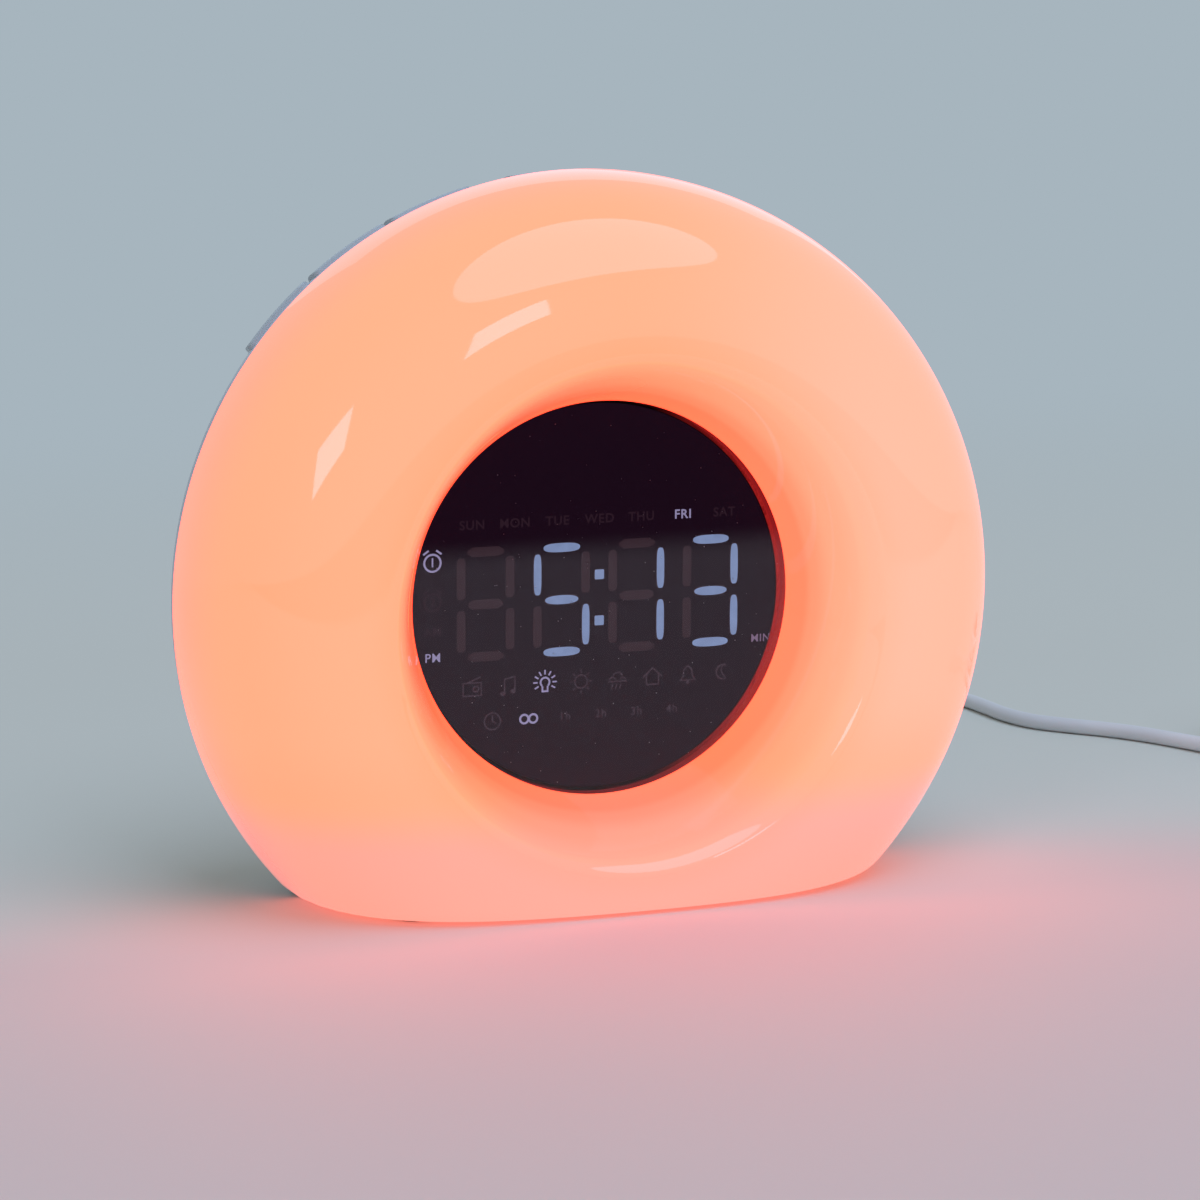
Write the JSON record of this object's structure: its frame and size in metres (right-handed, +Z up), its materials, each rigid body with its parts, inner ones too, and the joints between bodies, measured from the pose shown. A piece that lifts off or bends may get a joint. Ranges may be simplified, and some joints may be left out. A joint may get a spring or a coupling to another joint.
{
  "type": "sunrise alarm clock",
  "caption": "Round sunrise alarm clock with an opal lamp ring, a smoked digital display in its middle, buttons along the rear rim and a white power cord with USB plug.",
  "frame": {"origin": "middle of the clock's own footprint, on the surface it stands on; the cord lies behind and to the right", "axes": "+X right, seen from the front; +Y to the rear (the front faces -Y); +Z up"},
  "size_m": [0.3217, 0.2026, 0.1447],
  "materials": {
    "opal": "satin opal, lit from inside",
    "smoked_lens": "glossy, dark and see-through",
    "black_tape": "black double-sided tape",
    "dark_film": "matte print",
    "light_blocks": "diffusing",
    "white_inner": "matte white",
    "led": "clear dome over phosphor",
    "circuit_board": "solder mask",
    "white_shell": "satin",
    "grey_rubber": "matte",
    "screw_steel": "plated",
    "black_plastic": "matte",
    "amber_film": "glossy film",
    "capacitor": "sleeved can",
    "foam": "foam",
    "wire": "insulated wire",
    "brass_spring": "plated spring metal",
    "white_cord": "smooth soft vinyl"
  },
  "bodies": {
    "clock": {"front_diffuser": "opal", "display_lens": "smoked_lens", "lens_tape": "black_tape", "display_film": "dark_film", "digit_segments": "light_blocks", "icon_lights": "light_blocks", "display_reflector": "white_inner", "display_leds": "led", "display_board": "circuit_board", "display_retainer": "white_inner", "light_chassis": "white_inner", "ring_board": "white_inner", "ring_leds": "led", "rear_housing": "white_shell", "rubber_feet": "grey_rubber", "housing_screws": "screw_steel", "chassis_screws": "screw_steel", "switch_bracket": "white_inner", "switch_flex": "amber_film", "tact_switches": "black_plastic", "main_board": "circuit_board", "board_chips": "black_plastic", "board_capacitors": "capacitor", "board_connectors": "white_inner", "display_ribbon": "white_inner", "speaker_basket": "black_plastic", "speaker_cone": "black_plastic", "speaker_magnet": "screw_steel", "speaker_gasket": "foam", "speaker_screws": "screw_steel", "speaker_leads": "wire", "dc_jack": "black_plastic", "power_leads": "wire", "coin_cell": "screw_steel", "cell_contacts": "brass_spring", "dc_plug": "white_cord", "dc_barrel": "screw_steel", "power_cord": "white_cord", "cord_coil": "white_cord", "cord_tail": "white_cord", "cord_tie": "grey_rubber", "usb_grip": "white_cord", "usb_shell": "screw_steel"},
    "snooze_key": {"snooze_button": "white_shell", "plunger_snooze": "black_plastic"},
    "key_left_top": {"button_left_top": "white_shell", "plunger_left_top": "black_plastic"},
    "key_left_mid": {"button_left_mid": "white_shell", "plunger_left_mid": "black_plastic"},
    "key_left_low": {"button_left_low": "white_shell", "plunger_left_low": "black_plastic"},
    "key_right_top": {"button_right_top": "white_shell", "plunger_right_top": "black_plastic"},
    "key_right_mid": {"button_right_mid": "white_shell", "plunger_right_mid": "black_plastic"},
    "key_right_low": {"button_right_low": "white_shell", "plunger_right_low": "black_plastic"},
    "battery_cover": {"battery_door": "white_shell", "door_screw": "screw_steel"}
  },
  "joints": [
    {"name": "snooze_press", "type": "slide", "parent": "clock", "child": "snooze_key", "axis": [0, 0, -1], "range_m": [0, 0.0005], "stiffness_N_per_m": 1500, "springref_m": -0.0002},
    {"name": "left_top_press", "type": "slide", "parent": "clock", "child": "key_left_top", "axis": [0.3567, 0, -0.9342], "range_m": [0, 0.0005], "stiffness_N_per_m": 1500, "springref_m": -0.0002},
    {"name": "left_mid_press", "type": "slide", "parent": "clock", "child": "key_left_mid", "axis": [0.5592, 0, -0.829], "range_m": [0, 0.0005], "stiffness_N_per_m": 1500, "springref_m": -0.0002},
    {"name": "left_low_press", "type": "slide", "parent": "clock", "child": "key_left_low", "axis": [0.7325, 0, -0.6807], "range_m": [0, 0.0005], "stiffness_N_per_m": 1500, "springref_m": -0.0002},
    {"name": "right_top_press", "type": "slide", "parent": "clock", "child": "key_right_top", "axis": [-0.3567, 0, -0.9342], "range_m": [0, 0.0005], "stiffness_N_per_m": 1500, "springref_m": -0.0002},
    {"name": "right_mid_press", "type": "slide", "parent": "clock", "child": "key_right_mid", "axis": [-0.5592, 0, -0.829], "range_m": [0, 0.0005], "stiffness_N_per_m": 1500, "springref_m": -0.0002},
    {"name": "right_low_press", "type": "slide", "parent": "clock", "child": "key_right_low", "axis": [-0.7325, 0, -0.6807], "range_m": [0, 0.0005], "stiffness_N_per_m": 1500, "springref_m": -0.0002},
    {"name": "battery_door_pull", "type": "slide", "parent": "clock", "child": "battery_cover", "axis": [0, 1, 0], "range_m": [0, 0.012]}
  ]
}
